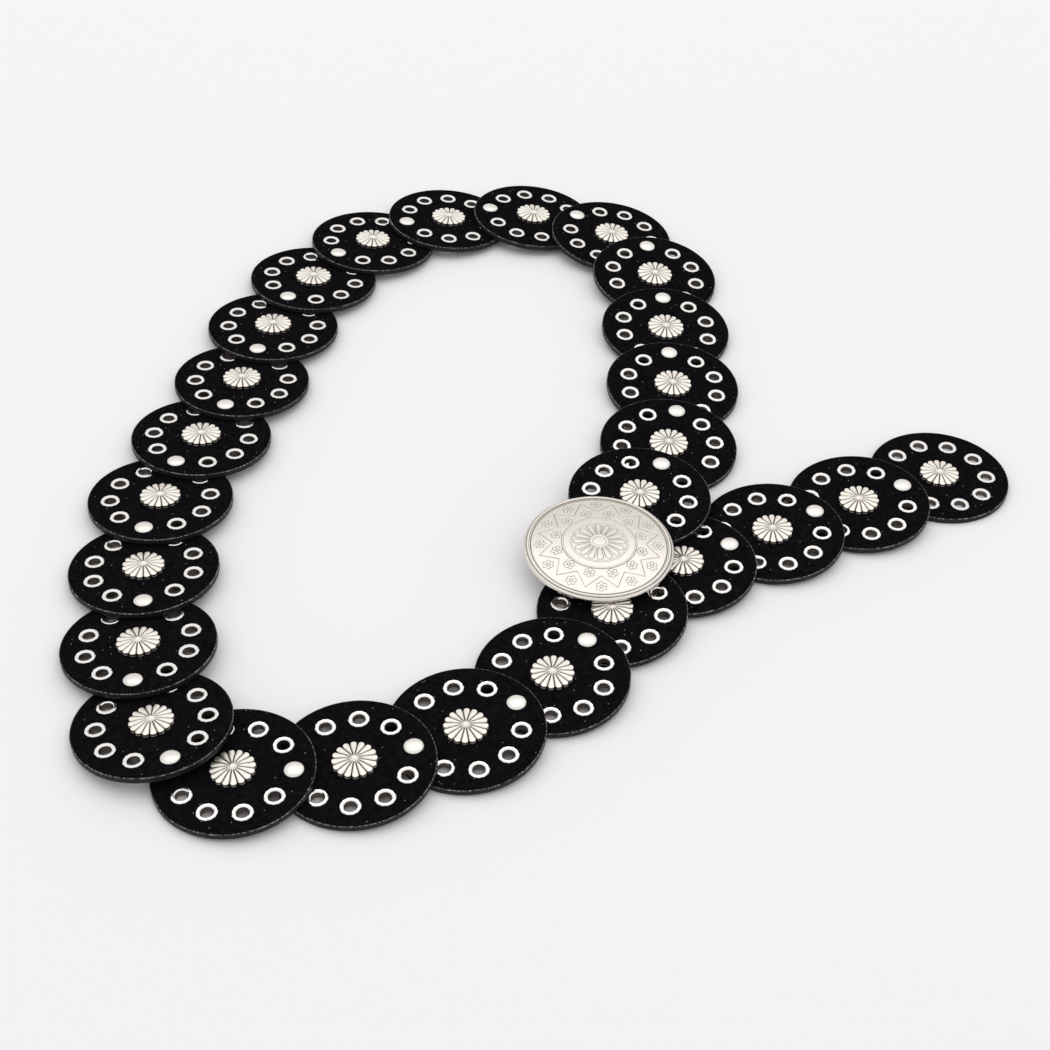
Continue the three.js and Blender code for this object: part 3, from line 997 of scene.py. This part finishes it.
def wall_height(number, x, y):
    """Height of the middle of the medallion's wall over a point of a disc, along the disc's up."""
    foot = (on_disc(np.array([x, y, 0.0]), number) - buckle_middle) @ buckle_axes.T
    wall = dome_height(np.hypot(*foot[:2])) - BUCKLE_WALL / 2
    return (wall - foot[2]) / (disc_axes[number][2] @ buckle_axes[2])


def hook_path(top):
    """Down the stem, round a quarter bend and out along the toe, in the plane of the toe."""
    arc = np.linspace(0, np.pi / 2, HOOK_BEND_POINTS)
    bend = np.stack(
        [HOOK_BEND * (1 - np.cos(arc)), HOOK_BEND * (1 - np.sin(arc)) - HOOK_DROP], axis=1
    )
    return np.concatenate([[[0, top]], bend, [[HOOK_TOE, -HOOK_DROP]]])


def hook_grid(top):
    """A round section carried along the path, square to it, with its ends closed to a point."""
    path = hook_path(top)
    way = np.gradient(path, axis=0)
    way = way / np.linalg.norm(way, axis=1, keepdims=True)
    path = np.concatenate([path[:1], path, path[-1:]])
    way = np.concatenate([way[:1], way, way[-1:]])
    thick = np.full(len(path), HOOK_RADIUS)
    thick[[0, -1]] = 0
    turns = 2 * np.pi * np.arange(TUBE_SIDES) / TUBE_SIDES
    out = thick[:, None] * np.cos(turns)
    grid = np.empty((len(path), TUBE_SIDES, 3))
    grid[..., 0] = path[:, :1] - way[:, 1:] * out
    grid[..., 1] = thick[:, None] * np.sin(turns)
    grid[..., 2] = path[:, 1:] + way[:, :1] * out
    return grid


rivet_top = wall_height(0, -RIVET_RING_RADIUS, 0)
shank = turned([*shank_profile(RIVET_END, rivet_top), (0, rivet_top)], rivet_turns)
shank = on_disc(shank + [-RIVET_RING_RADIUS, 0, 0], 0)
hook_turn = HOOK_PLACE * RING_TURN
hook_x, hook_y = ring_points(EYELET_RING_RADIUS, hook_turn)
hook = hook_grid(wall_height(HOOK_DISC, hook_x, hook_y))
turn_to_place = np.array(
    [
        [np.cos(hook_turn), np.sin(hook_turn), 0],
        [-np.sin(hook_turn), np.cos(hook_turn), 0],
        [0, 0, 1],
    ]
)
hook = on_disc(hook @ turn_to_place + [hook_x, hook_y, 0], HOOK_DISC)
fastening = make_piece("medallion_rivet_and_hook", *joined([shank, hook]), [nickel], "silver_metal")
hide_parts("buckle_medallion")

# Table, light and camera
# The belt lies on a plain white table top in a white room with one large soft lamp, seen from the
# photograph's angle: 40 degrees down, from in front.

TABLE_SIZE = 6.0
TABLE_GAP = 0.02 * MM


def table_paint():
    """Matt white laminate: pale, even, with no gloss."""
    material = new_material("matt_white_laminate")
    shader = add_node(
        material,
        "ShaderNodeBsdfPrincipled",
        inputs={
            "Base Color": linear("F7F5F8"),
            "Roughness": 0.9,
            "Specular IOR Level": 0.1,
        },
    )
    return finish_material(material, shader)


half = TABLE_SIZE / 2
table_mesh = bpy.data.meshes.new("table_top")
table_corners = [(x * half, y * half, -TABLE_GAP) for x, y in ((-1, -1), (1, -1), (1, 1), (-1, 1))]
table_mesh.from_pydata(table_corners, [], [(0, 1, 2, 3)])
table_mesh.materials.append(table_paint())
table = bpy.data.objects.new("table_top", table_mesh)
bpy.context.scene.collection.objects.link(table)

ROOM_AT_HORIZON = 0.82
ROOM_OVERHEAD = 0.92
LAMPS = [
    # name, place, aim, width, depth, watts, in metres
    ("overhead_softbox", (-0.1, 0.9, 2.2), (0, 0, 0), 3.0, 2.0, 8.0),
]


def white_room():
    """A white room that gets brighter from its walls to its ceiling, with the sine of the height."""
    world = bpy.data.worlds.new("white_room")
    world.use_nodes = True
    world.node_tree.nodes.clear()
    direction = add_node(world, "ShaderNodeTexCoord").outputs["Generated"]
    height = add_node(world, "ShaderNodeSeparateXYZ", inputs={"Vector": direction}).outputs["Z"]
    strength = add_node(
        world,
        "ShaderNodeMapRange",
        inputs={"Value": height, "To Min": ROOM_AT_HORIZON, "To Max": ROOM_OVERHEAD},
    )
    room = add_node(world, "ShaderNodeBackground", inputs={"Strength": strength.outputs[0]})
    room.inputs["Color"].default_value = linear("FFFFFF")
    add_node(world, "ShaderNodeOutputWorld", inputs={"Surface": room.outputs["Background"]})
    return world


bpy.context.scene.world = white_room()
bpy.context.scene.view_settings.view_transform = "Standard"


def aimed(place, aim):
    """The matrix of a lamp or camera at a place that looks along its own -Z at a point."""
    place, aim = np.array(place, float), np.array(aim, float)
    back = (place - aim) / np.linalg.norm(place - aim)
    right = np.cross([0, 0, 1], back)
    right = right / np.linalg.norm(right)
    matrix = np.eye(4)
    matrix[:3, 0], matrix[:3, 1], matrix[:3, 2] = right, np.cross(back, right), back
    matrix[:3, 3] = place
    return Matrix(matrix.tolist())


for name, place, aim, width, depth, watts in LAMPS:
    light = bpy.data.lights.new(name, "AREA")
    light.shape = "RECTANGLE"
    light.size = width
    light.size_y = depth
    light.energy = watts
    lamp = bpy.data.objects.new(name, light)
    lamp.matrix_world = aimed(place, aim)
    bpy.context.scene.collection.objects.link(lamp)

IMAGE_SIZE = 1050
FOCAL_PIXELS = 1968.1
SENSOR_MM = 36.0
CAMERA_PITCH = np.radians(40.477)
CAMERA_ROLL = np.radians(-3.0)
CAMERA_PLACE = (-0.01322, -0.66998, 0.53453)


def camera_matrix():
    """Camera axes for a pitch below the horizon, facing +Y, then a roll about the line of sight."""
    cos_p, sin_p = np.cos(CAMERA_PITCH), np.sin(CAMERA_PITCH)
    cos_r, sin_r = np.cos(CAMERA_ROLL), np.sin(CAMERA_ROLL)
    right = np.array([1.0, 0, 0])
    up = np.array([0, sin_p, cos_p])
    matrix = np.eye(4)
    matrix[:3, 0] = cos_r * right - sin_r * up
    matrix[:3, 1] = sin_r * right + cos_r * up
    matrix[:3, 2] = [0, -cos_p, sin_p]
    matrix[:3, 3] = CAMERA_PLACE
    return Matrix(matrix.tolist())


camera_data = bpy.data.cameras.new("photo_camera")
camera_data.sensor_fit = "HORIZONTAL"
camera_data.sensor_width = SENSOR_MM
camera_data.lens = FOCAL_PIXELS / IMAGE_SIZE * SENSOR_MM
camera_data.clip_start = 0.01
camera = bpy.data.objects.new("photo_camera", camera_data)
camera.matrix_world = camera_matrix()
bpy.context.scene.collection.objects.link(camera)
bpy.context.scene.camera = camera
